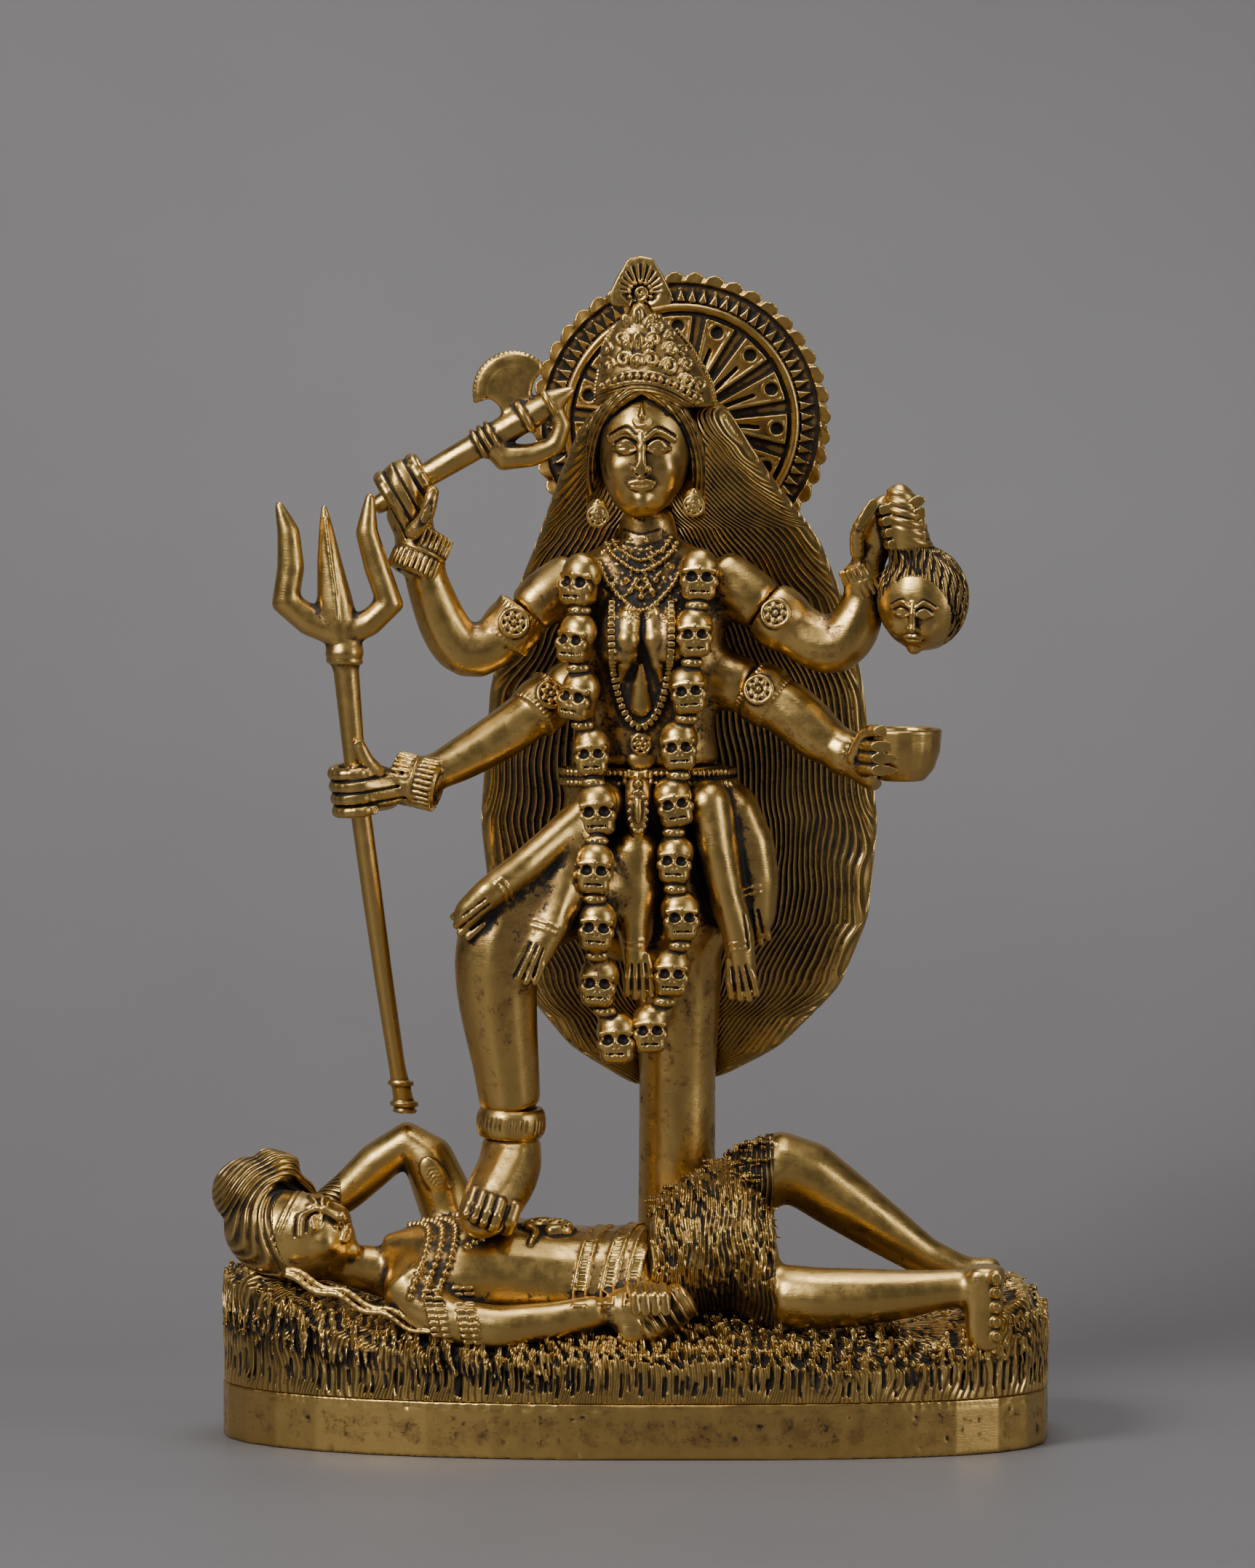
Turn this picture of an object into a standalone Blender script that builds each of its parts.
"""Brass statue of a four-armed standing goddess with one foot on a reclining god.

Every casting, ornament and attribute is its own closed solid. Lengths in the tables
are millimetres in the statue's frame: +X to the viewer's right, +Y away, +Z up.
"""

import math

import bmesh
import bpy
from mathutils import Matrix, Vector

MM = 0.001
FIT_GAP = 0.35  # clearance left between neighbouring castings

# Base
BASE_HALF_LENGTH = 105.0
BASE_HALF_DEPTH = 46.0
PLINTH_HEIGHT = 14.0
WALL = 5.0
HOLLOW_TOP = 20.0
LEFT_FULLNESS = 2.1  # exponents of the plan outline, fuller at the feet end
RIGHT_FULLNESS = 3.2

# Halo
HALO_RADIUS = 38.6
HALO_THICKNESS = 4.0
HALO_CENTRE = (11.6, 30.0, 257.0)
HALO_TEETH = 36

# Bowl
BOWL_RADIUS = 9.9
BOWL_HEIGHT = 13.0
BOWL_WALL = 1.7
BOWL_CENTRE = (67.3, -12.0, 168.0)

SKULL_SIZE = (4.1, 3.6, 5.4)

BRASS_COLOUR = (0.62, 0.42, 0.15)
BRASS_ROUGHNESS = 0.34


# ---------------------------------------------------------------- scene helpers

def clear_scene():
    for obj in list(bpy.data.objects):
        bpy.data.objects.remove(obj)


def brass():
    made = bpy.data.materials.new("brass")
    made.use_nodes = True
    shader = made.node_tree.nodes["Principled BSDF"]
    shader.inputs["Base Color"].default_value = (*BRASS_COLOUR, 1.0)
    shader.inputs["Metallic"].default_value = 1.0
    shader.inputs["Roughness"].default_value = BRASS_ROUGHNESS
    return made


BRASS = brass()
STATUE = bpy.data.collections.new("brass_statue")


def add_object(name, mesh):
    obj = bpy.data.objects.new(name, mesh)
    STATUE.objects.link(obj)
    obj.data.materials.clear()
    obj.data.materials.append(BRASS)
    return obj


def finish_bmesh(name, bm):
    bmesh.ops.recalc_face_normals(bm, faces=bm.faces)
    mesh = bpy.data.meshes.new(name)
    bm.to_mesh(mesh)
    bm.free()
    mesh.shade_smooth()
    return add_object(name, mesh)


# ---------------------------------------------------------------- shape makers

def catmull_rom(a, b, c, d, t):
    """Smooth value between b and c."""
    return 0.5 * (2 * b + (c - a) * t + (2 * a - 5 * b + 4 * c - d) * t * t
                  + (3 * b - a - 3 * c + d) * t ** 3)


def smooth_stations(stations, steps):
    """Catmull-Rom stations through rows of numbers, with the end rows kept."""
    rows = [Vector(s) for s in stations]
    rows = [rows[0] * 2 - rows[1], *rows, rows[-1] * 2 - rows[-2]]
    made = []
    for i in range(1, len(rows) - 2):
        for k in range(steps):
            made.append(catmull_rom(*rows[i - 1:i + 3], k / steps))
    made.append(rows[-2])
    return made


def curve_solid(curve):
    """The closed mesh that a curve's bevel or fill makes."""
    source = bpy.data.objects.new("curve", curve)
    STATUE.objects.link(source)
    bpy.context.view_layer.update()
    graph = bpy.context.evaluated_depsgraph_get()
    mesh = bpy.data.meshes.new_from_object(source.evaluated_get(graph))
    bpy.data.objects.remove(source)
    bm = bmesh.new()
    bm.from_mesh(mesh)
    bmesh.ops.remove_doubles(bm, verts=bm.verts, dist=1e-6)
    return bm


def tube(name, stations, sides=10, steps=2):
    """A round limb through stations of (x, y, z, radius)."""
    curve = bpy.data.curves.new(name, "CURVE")
    curve.dimensions = "3D"
    curve.bevel_depth = MM
    curve.bevel_resolution = (sides - 4) // 2
    curve.use_fill_caps = True
    path = smooth_stations(stations, steps)
    spline = curve.splines.new("POLY")
    spline.points.add(len(path) - 1)
    for point, row in zip(spline.points, path):
        point.co = (row[0] * MM, row[1] * MM, row[2] * MM, 1.0)
        point.radius = max(row[3], 0.4)
    return finish_bmesh(name, curve_solid(curve))


def loft(name, rings):
    """A closed solid through rings that all hold the same number of points."""
    bm = bmesh.new()
    layers = [[bm.verts.new(Vector(p) * MM) for p in ring] for ring in rings]
    count = len(layers[0])
    for low, high in zip(layers, layers[1:]):
        for i in range(count):
            j = (i + 1) % count
            bm.faces.new((low[i], low[j], high[j], high[i]))
    bm.faces.new(layers[0][::-1])
    bm.faces.new(layers[-1])
    return finish_bmesh(name, bm)


def body_loft(name, sections, sides=16, steps=1):
    """Upright body: sections of (z, cx, cy, half width, front depth, back depth)."""
    rings = []
    for z, cx, cy, half, front, back in smooth_stations(sections, steps):
        ring = []
        for k in range(sides):
            a = 2 * math.pi * k / sides
            depth = front if math.sin(a) < 0 else back
            ring.append((cx + half * math.cos(a), cy + depth * math.sin(a), z))
        rings.append(ring)
    return loft(name, rings)


def lying_loft(name, sections, sides=14, steps=1):
    """Reclining body: sections of (x, cy, cz, half depth, half height)."""
    rings = []
    for x, cy, cz, half, height in smooth_stations(sections, steps):
        angles = [2 * math.pi * k / sides for k in range(sides)]
        rings.append([(x, cy + half * math.cos(a), cz + height * math.sin(a))
                      for a in angles])
    return loft(name, rings)


def ellipsoid(name, centre, radii, turn=(0, 0, 0), segments=12):
    bm = bmesh.new()
    bmesh.ops.create_uvsphere(bm, u_segments=segments, v_segments=segments * 2 // 3,
                              radius=1.0)
    spin = Matrix.Identity(4)
    for axis, degrees in zip("XYZ", turn):
        spin = Matrix.Rotation(math.radians(degrees), 4, axis) @ spin
    bm.transform(Matrix.Translation(Vector(centre) * MM) @ spin
                 @ Matrix.Diagonal((*(Vector(radii) * MM), 1.0)))
    return finish_bmesh(name, bm)


def plate(name, outline, centre, thickness, holes=()):
    """A flat outline in the XZ plane, thick along Y about the centre."""
    curve = bpy.data.curves.new(name, "CURVE")
    curve.dimensions = "2D"
    curve.fill_mode = "BOTH"
    curve.extrude = thickness * MM / 2
    for loop in (outline, *holes):
        spline = curve.splines.new("POLY")
        spline.points.add(len(loop) - 1)
        spline.use_cyclic_u = True
        for point, (x, z) in zip(spline.points, loop):
            point.co = (x * MM, z * MM, 0.0, 1.0)
    bm = curve_solid(curve)
    stand = Matrix.Rotation(math.radians(90), 4, "X")
    bm.transform(Matrix.Translation(Vector(centre) * MM) @ stand)
    return finish_bmesh(name, bm)


def drum(name, start, end, radius, sides=12, bulge=0.4):
    """A solid band between two points of the limb that it encloses."""
    a, b = Vector(start), Vector(end)
    stations = [(*a.lerp(b, t), radius + bulge * math.sin(math.pi * t))
                for t in (0.0, 0.5, 1.0)]
    return tube(name, stations, sides, 1)


# ---------------------------------------------------------------- mesh joining

def mesh_boolean(target, cutter, operation):
    """MANIFOLD, because a grown cutter can overlap itself, where EXACT loses the target."""
    modifier = target.modifiers.new(operation, "BOOLEAN")
    modifier.object = cutter
    modifier.operation = operation
    modifier.solver = "MANIFOLD"
    bpy.context.view_layer.update()
    graph = bpy.context.evaluated_depsgraph_get()
    made = bpy.data.meshes.new_from_object(target.evaluated_get(graph))
    target.modifiers.clear()
    target.data = made


def unite(target, *others):
    for other in others:
        mesh_boolean(target, other, "UNION")
        bpy.data.objects.remove(other)
    return target


def inflated(obj, gap):
    """A copy of the object grown by the gap, to cut a neighbour with."""
    bm = bmesh.new()
    bm.from_mesh(obj.data)
    bmesh.ops.triangulate(bm, faces=bm.faces)
    bm.normal_update()
    moves = [(v, v.normal * gap * MM) for v in bm.verts]
    for vert, move in moves:
        vert.co += move
    mesh = bpy.data.meshes.new(obj.name + "_cutter")
    bm.to_mesh(mesh)
    bm.free()
    cutter = bpy.data.objects.new(mesh.name, mesh)
    STATUE.objects.link(cutter)
    return cutter


def keep_largest(obj):
    """Drops the crumbs that trimming leaves, keeping the one main body."""
    bm = bmesh.new()
    bm.from_mesh(obj.data)
    unseen, islands = set(bm.verts), []
    while unseen:
        stack, island = [unseen.pop()], set()
        while stack:
            vert = stack.pop()
            island.add(vert)
            near = {e.other_vert(vert) for e in vert.link_edges} & unseen
            unseen -= near
            stack.extend(near)
        islands.append(island)
    main = max(islands, key=len)
    extra = [v for island in islands if island is not main for v in island]
    bmesh.ops.delete(bm, geom=extra, context="VERTS")
    bm.to_mesh(obj.data)
    bm.free()


def box_of(obj):
    points = [v.co for v in obj.data.vertices]
    low = Vector([min(p[i] for p in points) for i in range(3)])
    high = Vector([max(p[i] for p in points) for i in range(3)])
    return low, high


def boxes_meet(a, b):
    margin = FIT_GAP * MM
    (low_a, high_a), (low_b, high_b) = box_of(a), box_of(b)
    return all(low_a[i] - margin < high_b[i] and low_b[i] - margin < high_a[i]
               for i in range(3))


def trim_in_order(pieces):
    """Each piece is trimmed to clear every earlier piece by the fitting gap."""
    for i, piece in enumerate(pieces):
        for earlier in pieces[:i]:
            if boxes_meet(piece, earlier):
                cutter = inflated(earlier, FIT_GAP)
                mesh_boolean(piece, cutter, "DIFFERENCE")
                bpy.data.objects.remove(cutter)
                keep_largest(piece)


# ---------------------------------------------------------------- base

def fullness(x):
    return LEFT_FULLNESS if x < 0 else RIGHT_FULLNESS


def half_depth(x, inset=0.0):
    """Half the base's depth at x, on the outline set in by the inset."""
    share = min(abs(x) / (BASE_HALF_LENGTH - inset), 1.0)
    power = fullness(x)
    return (BASE_HALF_DEPTH - inset) * (1 - share ** power) ** (1 / power)


def base_outline(inset, points=36):
    """The plan outline as (x, y), denser where it turns at the ends."""
    xs = [-(BASE_HALF_LENGTH - inset) * math.cos(math.pi * k / (points // 2))
          for k in range(points // 2 + 1)]
    front = [(x, -half_depth(x, inset)) for x in xs]
    back = [(x, half_depth(x, inset)) for x in reversed(xs[1:-1])]
    return front + back


def slab(name, inset, low, high):
    rings = [[(x, y, z) for x, y in base_outline(inset)] for z in (low, high)]
    return loft(name, rings)


def base_plinth():
    ring = slab("base_plinth", 0.0, 0.0, PLINTH_HEIGHT)
    hollow = slab("hollow", WALL, -1.0, PLINTH_HEIGHT + 1.0)
    mesh_boolean(ring, hollow, "DIFFERENCE")
    bpy.data.objects.remove(hollow)
    return ring


# (x, rim height, crown height) along the straw mat
MAT_PROFILE = ((-105, 40, 40), (-98, 44, 45), (-90, 40, 44), (-80, 35, 38), (-66, 31, 33),
               (-48, 29, 32), (-20, 27, 31), (10, 26, 31), (45, 26, 30), (72, 26, 30),
               (82, 27, 32), (90, 35, 38), (98, 38, 39), (105, 30, 30))


def mat_height(x):
    for (x0, r0, c0), (x1, r1, c1) in zip(MAT_PROFILE, MAT_PROFILE[1:]):
        if x0 <= x <= x1:
            t = (x - x0) / (x1 - x0)
            return r0 + (r1 - r0) * t, c0 + (c1 - c0) * t
    return MAT_PROFILE[-1][1:]


def straw_mat():
    foot = PLINTH_HEIGHT + FIT_GAP
    steps = 18
    rings = []
    for k in range(steps + 1):
        x = -BASE_HALF_LENGTH * 0.995 * math.cos(math.pi * k / steps)
        depth = half_depth(x)
        rim, crown = mat_height(x)
        corner = min(4.0, depth * 0.4)
        rings.append([
            (x, -depth, foot), (x, -depth, rim - corner), (x, -depth + corner, rim),
            (x, -depth * 0.45, crown), (x, depth * 0.45, crown),
            (x, depth - corner, rim), (x, depth, rim - corner), (x, depth, foot)])
    mat = loft("straw_mat", rings)
    hollow = slab("hollow", WALL, 0.0, HOLLOW_TOP)
    mesh_boolean(mat, hollow, "DIFFERENCE")
    bpy.data.objects.remove(hollow)
    return mat


# ---------------------------------------------------------------- reclining god

def reclining_god():
    torso = lying_loft("god_torso", (
        (-64, -13, 46, 6.5, 6.5), (-59, -13, 45, 12, 9), (-54, -13, 44, 20, 12),
        (-44, -13, 44, 21.5, 13.3), (-32, -13, 44, 20, 13.2), (-20, -13, 43, 17.5, 12),
        (-8, -13, 43, 16.5, 11.5), (3, -13, 43.5, 16.5, 12)), 14)
    head = ellipsoid("god_head", (-79, -16, 55), (16.5, 12.5, 13), (0, 24, 0), 14)
    hair = unite(
        ellipsoid("god_hair", (-90, -10, 55), (13, 15, 14), (0, 20, 0), 10),
        ellipsoid("bun", (-98, -8, 63), (10, 11, 9), (0, 0, 0), 10),
        tube("knot", ((-92, -8, 66, 6), (-90, -8, 73, 5.5)), 10, 1))
    raised_arm = tube("god_raised_arm", (
        (-46, 3, 52, 7.5), (-49.5, 4, 62, 7.2), (-53, 5, 70, 6.8), (-58.5, 6, 74, 5.8),
        (-66, 6, 68.5, 5.6), (-74, 6, 61, 5), (-80, 5, 57, 4.4)), 10, 1)
    near_arm = tube("god_near_arm", (
        (-58, -30, 43, 7.5), (-53, -34, 37, 6.6), (-46, -37, 33.5, 6),
        (-34, -39, 32.5, 5.6), (-20, -38, 34, 5), (-8.5, -36.5, 36.5, 4.2)), 10, 1)
    unite(near_arm,
          ellipsoid("near_hand", (2, -35, 35.5), (11, 6.5, 7), (0, 12, 0), 12),
          tube("horn", ((-4, -37.2, 30, 4.2), (4, -36.8, 33, 5), (13, -34, 40, 5.2)), 10, 1))
    loincloth = lying_loft("god_loincloth", (
        (3.8, -13, 43.5, 18, 13), (10, -12, 46, 19.5, 16), (18, -10, 49.5, 21, 19.5),
        (24, -10, 51, 21, 20.5), (30, -12, 46, 20.5, 17), (36, -18, 39, 14, 11)), 14)
    bent_leg = tube("god_bent_leg", (
        (22, 0, 56, 8.5), (29, 1, 64, 9.4), (37.4, 1.4, 68.4, 9.4), (44, 1.4, 66, 9),
        (52, 1.4, 60.2, 8.2), (63, 1, 52.5, 6.8), (74, 1, 45, 5.2), (84, 1, 40.5, 4.8),
        (93, 2, 41, 4)), 10, 1)
    straight_leg = tube("god_straight_leg", (
        (36.5, -27, 39, 8.2), (46, -29, 38.5, 8), (58, -30, 39, 7.3), (70, -30, 40, 6),
        (78, -30, 41, 5), (83, -30, 41.5, 5)), 10, 1)
    foot = loft("foot", [
        [(83.0 + lean, -36, z), (90 + lean, -37, z), (92.5 + lean, -31, z),
         (90 + lean, -24, z), (83.0 + lean, -25, z)]
        for z, lean in ((26, 0.5), (32, 0.0), (41, 0.0), (47, 1.0))])
    unite(straight_leg, foot)
    return [torso, head, hair, raised_arm, loincloth, bent_leg, straight_leg, near_arm]


# ---------------------------------------------------------------- goddess body

def goddess_body():
    hips = body_loft("goddess_hips", (
        (121, 6, 5, 14, 9, 9), (127, 5, 5, 19.5, 12, 12), (138, 4, 5, 22.4, 13.5, 13),
        (150, 3.4, 5, 22.6, 13, 12.5), (160, 3, 4, 21.6, 11.8, 11.2),
        (165, 3, 3.5, 20.6, 11, 10.4)), 16)
    belt = body_loft("belt", (
        (165.4, 3, 3.5, 22.6, 12.2, 11.4), (168, 3, 3.5, 22.4, 12, 11.2),
        (170.6, 3, 3.2, 21, 11.2, 10.8)), 16)
    torso = body_loft("goddess_torso", (
        (171, 3, 3, 18.6, 10, 10), (180, 3, 2, 17, 10.2, 10.2), (190, 2.8, 1.6, 17.8, 11, 11),
        (200, 2.6, 1, 19.8, 12.4, 12), (208, 2.6, 1, 20.6, 12, 12),
        (215, 2.6, 1.2, 21.2, 10.6, 11), (221, 2.6, 1.4, 20.4, 8.6, 9),
        (225.5, 2.8, 1.4, 13.6, 7.6, 8), (228.5, 3, 1, 7.8, 6.8, 7), (236, 3, 0, 6.2, 6, 6)),
        16)
    breasts = [tube("breast", ((x, -8.5, 210, 4.5), (x + 0.2, -10.5, 203.5, 5.8),
                               (x + 0.4, -11.5, 197.5, 4.6)), 10, 1)
               for x in (-3.6, 8.4)]
    unite(torso, *breasts)
    head = body_loft("goddess_head", (
        (234.5, 1.2, -7, 3.4, 4, 5), (237, 1.5, -5, 6.8, 7.6, 8.4),
        (242, 2, -3, 10, 10.4, 12), (249, 2.4, -2, 11.8, 11.6, 13.6),
        (257, 2.6, -2, 11.9, 11.2, 14), (263, 2.8, -1.5, 10.4, 9.4, 12.4),
        (267.5, 3, -1, 6.5, 6, 8)), 16)
    support_leg = tube("goddess_support_leg", (
        (10.6, 15, 27, 10.6), (10.6, 14, 45, 10), (10.6, 13, 65, 9.8), (10.7, 12, 90, 9.7),
        (10.8, 10, 110, 10.8), (10.5, 7, 130, 12)), 12, 1)
    raised_leg = tube("goddess_raised_leg", (
        (0, 0, 141, 12.5), (-12, -7, 141, 12.4), (-24, -13, 137, 12), (-32.5, -17, 131, 11.4),
        (-35, -18.5, 122, 10.8), (-34.5, -18, 110, 9.8), (-32.8, -16.5, 97, 8.5),
        (-31.6, -15, 85.4, 7.8)), 10)
    anklet = drum("anklet", (-31.5, -14.8, 84.8), (-31.4, -14.2, 78.4), 8.5, 12)
    raised_foot = tube("goddess_raised_foot", (
        (-31.5, -14.2, 77.9, 7.4), (-31.6, -16.5, 71.5, 8.1), (-34, -22, 66, 8.2),
        (-37, -28, 61.6, 7.4), (-39.6, -33, 58.8, 5.6), (-40.6, -35.5, 57.8, 3)), 10)
    return [hips, belt, torso, head, support_leg, raised_leg, anklet, raised_foot]


# ---------------------------------------------------------------- goddess arms

# Each arm: upper arm, armlet ends, forearm, bangle ends, then hand stations.
ARMS = {
    "axe": dict(
        upper=((-15, 1, 219, 7), (-22, -1, 214.5, 6.8), (-27.6, -2, 209.6, 6.4)),
        armlet=((-27.9, -2, 209.3), (-34, -3, 203.6), 7.4),
        fore=((-34.3, -3, 203.3, 6.5), (-40, -4, 200, 6.8), (-45, -4.5, 201.5, 6.8),
              (-49, -5.5, 208, 6.4), (-52, -6.5, 216, 5.7), (-53.4, -7, 220.2, 5.3)),
        bangle=((-53.5, -7, 220.6), (-55.2, -7.5, 229.6), 6.0),
        hand=((-55.4, -7.5, 230, 5.2), (-57, -8, 235, 6.2), (-58, -8.5, 241, 7),
              (-58.5, -9, 246, 5.6), (-58.8, -9, 248.6, 3))),
    "trident": dict(
        upper=((-10, 2, 195, 6.6), (-16, 0, 191.5, 6.6), (-20, -1, 189, 6.4)),
        armlet=((-20.3, -1, 188.8), (-26.4, -3, 184.4), 7.3),
        fore=((-26.7, -3, 184.2, 6.5), (-31, -4.6, 180.8, 6.5), (-38, -7, 176.5, 6.1),
              (-45, -9, 172.6, 5.5), (-50.6, -10.8, 169.8, 4.7)),
        bangle=((-51, -11, 169.6), (-59.6, -13.2, 165.8), 5.6),
        hand=((-60, -13.3, 165.6, 4.8), (-65, -14.4, 166, 6.2), (-69.5, -15, 167, 8),
              (-73, -15.4, 167.6, 7.4), (-75.2, -15.6, 168, 4.5))),
    "severed_head": dict(
        upper=((20, 0, 219.5, 7.4), (27, -2, 215, 7.2), (32.4, -3, 211.2, 7)),
        armlet=((32.8, -3, 210.9), (39.6, -4.2, 206.2), 8.0),
        fore=((40, -4.3, 205.9, 7.1), (46, -5.6, 202.4, 7.4), (51, -6.5, 202, 7.5),
              (55, -7.2, 206.5, 7), (57, -7.8, 211.5, 5.8), (57.6, -8, 214.8, 5)),
        bangle=((57.7, -8, 215.2), (58.2, -8.4, 222), 5.4),
        hand=((58.3, -8.5, 222.4, 4.4), (60, -9.4, 228, 5.4), (63, -10.4, 233.6, 6.4),
              (66.5, -11, 236.4, 5.6))),
    "bowl": dict(
        upper=((16, 2, 196, 7.2), (23, 0, 192.6, 7.2), (28.6, -1.4, 190.6, 7)),
        armlet=((29, -1.5, 190.5), (35.4, -3, 187.6), 7.9),
        fore=((35.8, -3.1, 187.4, 7.2), (41, -4.6, 183.4, 7.4), (46, -6, 179, 6.9),
              (50.4, -7.6, 176, 5.6)),
        bangle=((50.8, -7.8, 175.8), (55, -9.6, 173.6), 5.9),
        hand=((55.4, -9.8, 173.4, 5), (59, -12, 171, 5.2), (62.5, -14, 168.5, 4.6))),
}


def goddess_arms():
    pieces = []
    for name, arm in ARMS.items():
        pieces += [
            tube(name + "_upper_arm", arm["upper"], 12, 1),
            drum(name + "_armlet", *arm["armlet"], sides=12),
            tube(name + "_forearm", arm["fore"], 10),
            drum(name + "_bangle", *arm["bangle"], sides=10),
            tube(name + "_hand", arm["hand"], 8)]
    return pieces


# ---------------------------------------------------------------- attributes

def arc(centre, radius, start, stop, count):
    """Points on a circle in the plate's plane, from one angle to the other."""
    cx, cz = centre
    made = []
    for k in range(count):
        a = math.radians(start + (stop - start) * k / (count - 1))
        made.append((cx + radius * math.cos(a), cz + radius * math.sin(a)))
    return made


def axe():
    shaft = tube("axe", (
        (-66, -8, 236.6, 2.4), (-58.4, -8.8, 241.4, 3), (-48, -9.4, 247.6, 3.4),
        (-36, -10, 254.6, 3.6), (-26, -10.4, 260.4, 3.8), (-21, -10.6, 263.4, 3.4),
        (-15, -11, 267, 0.8)), 8, 1)
    crescent = arc((-30.7, 266), 10, 38, 198, 11)
    inner = [(-36.6, 264.4), (-34, 262), (-32.8, 256.4), (-25.6, 259.5), (-26.8, 264),
             (-25.6, 268.6)]
    blade = plate("blade", crescent + inner, (0, -10, 0), 3.2)
    hook = tube("hook", ((-37, -10.2, 253.6, 3.2), (-33, -10.4, 249.2, 3.6),
                         (-26, -10.6, 250, 3.1), (-20, -10.8, 252.6, 2.7),
                         (-18.4, -11, 257.6, 2.4), (-20.6, -10.8, 262.4, 2.0)), 8, 1)
    return unite(shaft, blade, hook)


def trident():
    depth = -17.0
    staff = tube("trident", (
        (-73.4, depth, 203, 3.6), (-72.6, -16.8, 194, 3.4), (-71.2, -16, 178, 3),
        (-69.8, -15.2, 164, 2.8), (-66.4, -12.4, 138, 2.7), (-63.6, -7.4, 116, 2.5),
        (-60.6, -1, 94, 2.3), (-58.6, 3.6, 82.4, 2.9)), 8, 1)
    collar = tube("collar", ((-73, depth, 197.4, 3.7), (-73.2, depth, 200.4, 5.3),
                             (-73.4, depth, 203.6, 3.9)), 10, 1)
    prongs = [tube("prong", [(x, depth, z, r) for x, z, r in stations], 8, 1)
              for stations in (
                  ((-74, 205, 3.6), (-82, 208.6, 4), (-88, 213.4, 4), (-86.6, 222, 3.6),
                   (-87.2, 231, 3), (-90, 239, 1)),
                  ((-74, 205, 3.6), (-67, 208, 3.6), (-61.8, 213, 4), (-65, 222, 3.4),
                   (-67.6, 231, 3), (-66.6, 241, 1.2)),
                  ((-74.6, 204, 4.4), (-75.4, 212, 4.9), (-77, 224, 3.2),
                   (-78.4, 238.6, 0.9)))]
    return unite(staff, collar, *prongs)


def severed_head():
    return unite(
        ellipsoid("severed_head", (72.4, -12, 214), (12, 12, 13.4), (0, 0, 0), 14),
        tube("topknot", ((69.5, -14, 224, 6), (68, -16, 232, 5.2), (66.4, -15, 239, 4.4),
                         (65.8, -14.5, 243, 2)), 10, 1))


def bowl():
    x, y, z = BOWL_CENTRE
    outer = ((0, 5.5), (3, 8.0), (7.5, BOWL_RADIUS - 0.4), (BOWL_HEIGHT, BOWL_RADIUS))
    wall = [(x, y, z + h, r) for h, r in outer]
    cup = tube("bowl", wall, 18, 1)
    inside = [(x, y, z + h + 2.2, r - BOWL_WALL) for h, r in outer]
    hollow = tube("hollow", inside, 18, 1)
    mesh_boolean(cup, hollow, "DIFFERENCE")
    bpy.data.objects.remove(hollow)
    return cup


def halo():
    teeth = []
    for k in range(HALO_TEETH * 2):
        a = math.pi * k / HALO_TEETH
        r = HALO_RADIUS - (1.1 if k % 2 else 0.0)
        teeth.append((r * math.cos(a), r * math.sin(a)))
    disc = plate("halo_disc", teeth, HALO_CENTRE, HALO_THICKNESS)
    x, y, z = HALO_CENTRE
    reach = y - HALO_THICKNESS / 2 - 2 * FIT_GAP
    lug = tube("halo_lug", ((x - 6, 8, z - 12, 4.4), (x - 5, reach, z - 12, 4.4)), 12, 1)
    return [disc, lug]


# ---------------------------------------------------------------- hair and ornaments

def hair_mantle():
    return body_loft("hair_mantle", (
        (268.5, 5, 1, 13, 7.5, 11), (262, 6, 1.5, 17.6, 9.5, 14), (256, 6, 3, 21, 9.6, 15),
        (244, 7.6, 7, 27.6, 9.4, 14.6), (228, 11, 12, 37, 8.4, 12.4), (210, 11, 17, 44.6, 7.6, 11),
        (190, 10.6, 20, 49.4, 7.8, 10.6), (155, 11.2, 22.6, 52.6, 8.8, 10.4),
        (130, 11.5, 22.6, 50, 8.6, 9.6), (112, 11.6, 21.6, 42.4, 7.6, 8.6),
        (97, 10.2, 20.4, 28.6, 6.4, 7), (85.4, 8.4, 19, 8, 3, 3.4)),
        20)


def crown():
    return body_loft("crown", (
        (262, 5, -1.2, 15.6, 12.6, 12), (267, 4.6, -1.5, 15, 12.4, 12),
        (272, 3.8, -2, 13, 11, 11), (277, 2.6, -2.4, 11, 8.6, 9), (282, 1.8, -2.8, 7.4, 6.2, 6.4),
        (286.4, 1.2, -3, 3, 3.4, 3.4), (288.6, 1, -3, 2, 2.4, 2.4)), 16)


def crest_fan():
    cx, cz = 1.2, 291.6
    outline = arc((cx, cz), 8.4, -28, 208, 11) + [(cx - 3, cz - 4.6), (cx + 3, cz - 4.6)]
    return plate("crest_fan", outline, (0, -3, 0), 4.4)


LEFT_SKULLS = ((-13.7, 218.2), (-14.6, 203.1), (-14.0, 187.4), (-11.0, 173.6), (-9.6, 160.0),
               (-10.4, 144.6), (-9.8, 129.2), (-9.2, 115.2), (-5.6, 102.6))
RIGHT_SKULLS = ((15.9, 219.4), (14.4, 204.3), (13.2, 189.2), (11.0, 174.6), (9.6, 160.0),
                (10.0, 144.6), (11.2, 129.6), (9.2, 116.2), (4.6, 105.0))
# Depth of each strand's centreline at a height, where it lies on the body
LEFT_DEPTH = ((226, -7), (218, -11.5), (203, -14), (187, -13), (173, -12.5), (160, -15),
              (150, -19), (140, -21), (129, -20), (118, -16), (108, -14), (98, -13.5))
RIGHT_DEPTH = ((226, -7), (218, -11.5), (203, -14), (187, -13), (173, -11.5), (160, -12.5),
               (145, -13.5), (129, -13.5), (115, -13), (98, -13.5))


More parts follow.
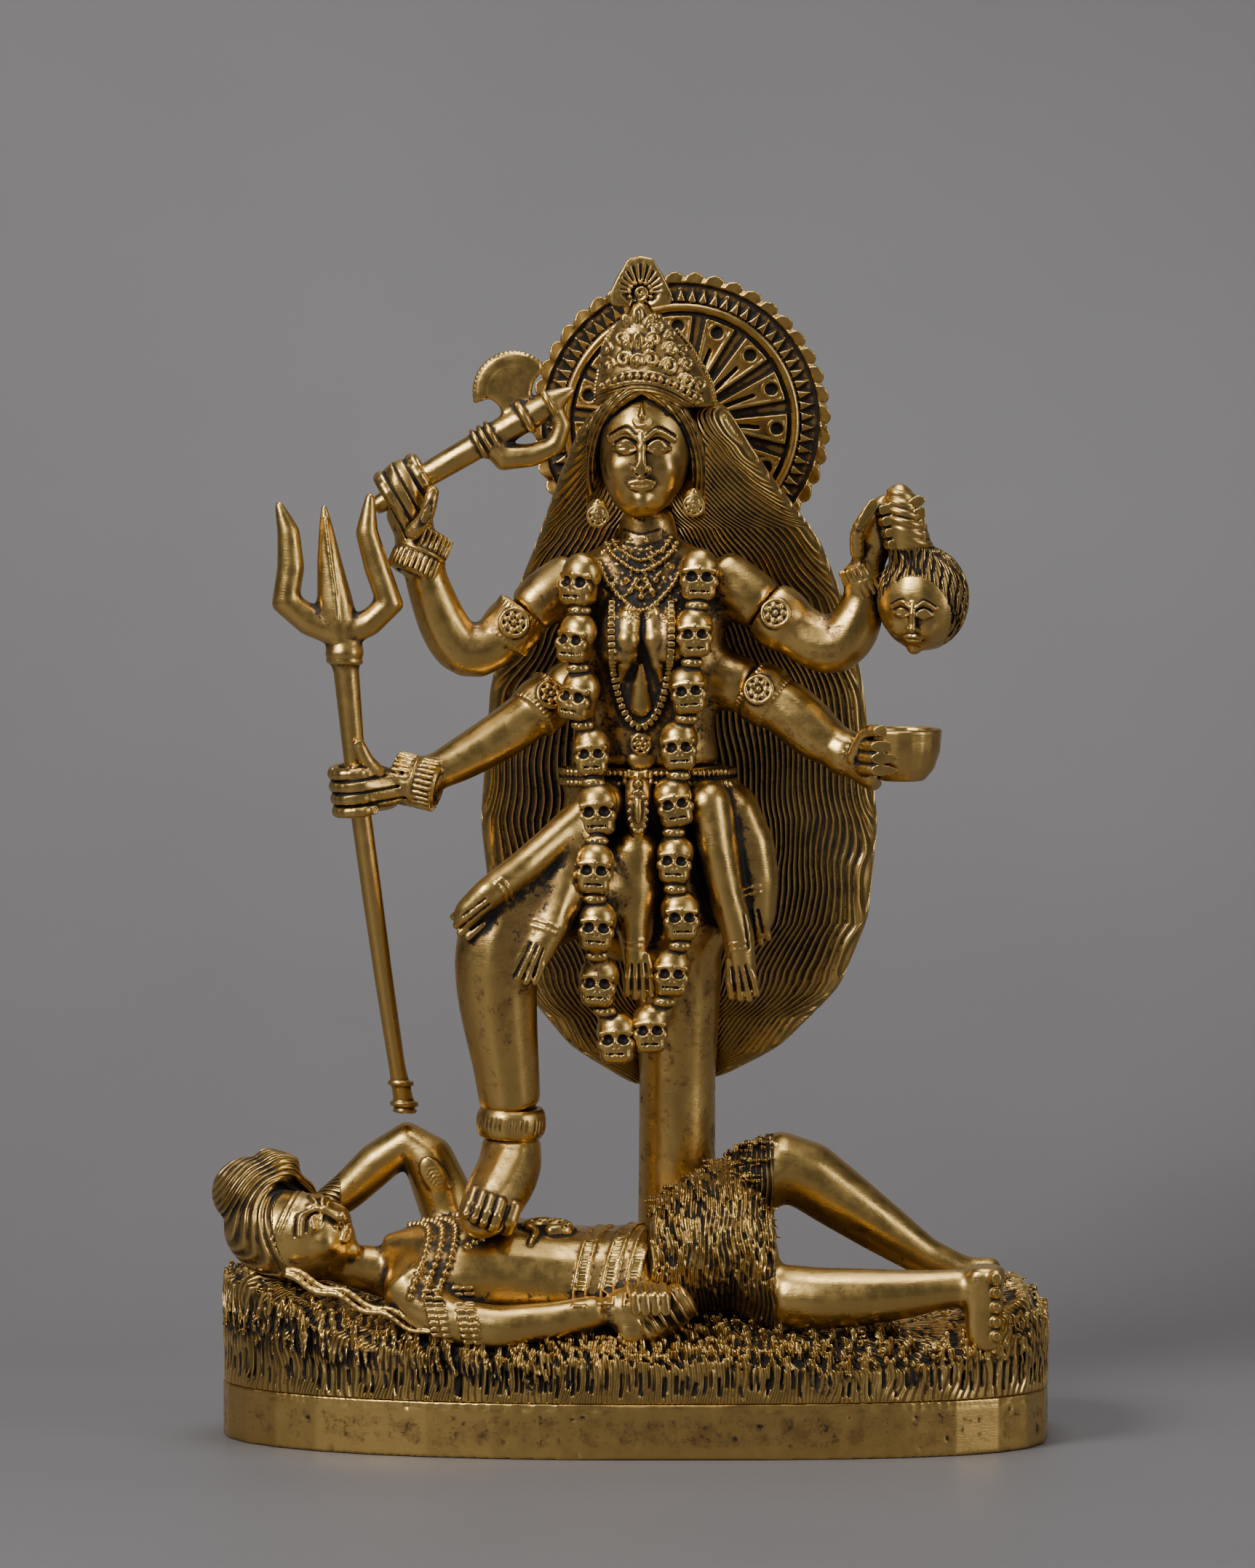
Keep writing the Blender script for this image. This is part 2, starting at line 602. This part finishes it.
def depth_at(profile, z):
    for (z0, y0), (z1, y1) in zip(profile, profile[1:]):
        if z1 <= z <= z0:
            return y0 + (y1 - y0) * (z0 - z) / (z0 - z1)
    return profile[-1][1]


def garland(name, skulls, profile, end):
    centres = [(x, depth_at(profile, z), z) for x, z in skulls]
    cord = tube(name, [(x, y, z, 2.9) for x, y, z in centres] + [end], 6, 1)
    heads = [ellipsoid("skull", (x, y - 0.8, z), SKULL_SIZE, (0, 0, 0), 7)
             for x, y, z in centres]
    return unite(cord, *heads)


def ornaments():
    left = garland("garland_left_strand", LEFT_SKULLS, LEFT_DEPTH, (-1.4, -13.4, 98.8, 2.4))
    right = garland("garland_right_strand", RIGHT_SKULLS, RIGHT_DEPTH, (0.4, -13.4, 101, 2.4))
    short = tube("short_necklace", (
        (-8.5, -4, 226.5, 2.4), (-6.6, -8.4, 219.4, 2.6), (-2, -10.8, 214, 2.8),
        (2.6, -11.4, 212.4, 2.9), (7, -10.8, 214, 2.8), (11.8, -8.4, 219.4, 2.6),
        (13.6, -4, 226.5, 2.4)), 6)
    long_loop = tube("long_necklace", (
        (-8, -13.4, 208, 1.5), (-8.6, -14.4, 200, 1.6), (-8, -12.6, 190, 1.7),
        (-4.6, -12.4, 181.4, 2), (1.4, -12.6, 177.6, 2.6), (7, -12.4, 181.4, 2),
        (8.8, -12.6, 190, 1.7), (10.2, -13.2, 196, 1.6)), 6, 1)
    earrings = [ellipsoid(name, centre, (2.8, 2.6, 3.8), (0, 0, 0), 10)
                for name, centre in (("earring_left", (-9.6, -9, 235.4)),
                                     ("earring_right", (14.6, -8.4, 238)))]
    pendant = tube("belt_pendant", ((0.6, -11, 167.8, 3.2), (0.6, -12.6, 163, 3.4),
                                    (0.4, -12.6, 157, 2.8), (0.3, -12.4, 151.6, 1.2)), 8)
    return [left, right, short, long_loop, *earrings, pendant]


# Severed arms hanging from the belt as a skirt: (x, y, z, radius) from elbow to fingers
SKIRT_ARMS = (
    ("skirt_arm_far_left", ((-9, -11, 163, 4), (-18, -17, 155.6, 4.3), (-28, -24.5, 147.4, 4.2),
                            (-37, -28.5, 141, 4), (-42.6, -27.5, 135.6, 3.6),
                            (-44.6, -26, 131, 1.8))),
    ("skirt_arm_left", ((-14, -15, 153, 2.6), (-17, -20, 143, 3.4), (-21, -24, 132.5, 4.4),
                        (-26, -25.5, 123.6, 4.2), (-29, -26, 118.6, 2.4))),
    ("skirt_arm_centre", ((-0.4, -11, 150.8, 3.6), (-0.6, -11.6, 141, 4.4), (-0.8, -11.8, 130, 3.8),
                          (0, -12, 120.6, 3.2), (1, -12, 113, 1.6))),
    ("skirt_arm_right", ((18.4, -9.6, 162, 3.6), (20.4, -11, 151, 4.4), (23, -10.4, 139, 4),
                         (26, -9, 128, 4.2), (27, -8.4, 119.4, 3.8), (27.6, -8, 112.4, 1.8))),
    ("skirt_arm_far_right", ((25.6, -1, 161, 5), (29, -1.6, 151, 6.4), (30.6, -1.4, 141, 6),
                             (31, -0.6, 131.6, 4.6), (30.6, 0, 126, 2))),
)


def skirt_arms():
    return [tube(name, stations, 8, 1) for name, stations in SKIRT_ARMS]


# ---------------------------------------------------------------- assembly

def centre_on_origin(pieces):
    """Puts the middle of the statue's box over the origin."""
    boxes = [box_of(p) for p in pieces]
    for axis in (0, 1):
        middle = (min(b[0][axis] for b in boxes) + max(b[1][axis] for b in boxes)) / 2
        shift = Vector((0, 0, 0))
        shift[axis] = -middle
        for piece in pieces:
            piece.data.transform(Matrix.Translation(shift))


def build():
    clear_scene()
    bpy.context.scene.collection.children.link(STATUE)
    pieces = goddess_body()
    pieces += [axe(), trident(), severed_head(), bowl()]
    pieces += goddess_arms()
    pieces += reclining_god()
    pieces += ornaments()
    pieces += skirt_arms()
    pieces += [crown(), crest_fan(), *halo(), hair_mantle()]
    pieces += [base_plinth(), straw_mat()]
    trim_in_order(pieces)
    centre_on_origin(pieces)


build()
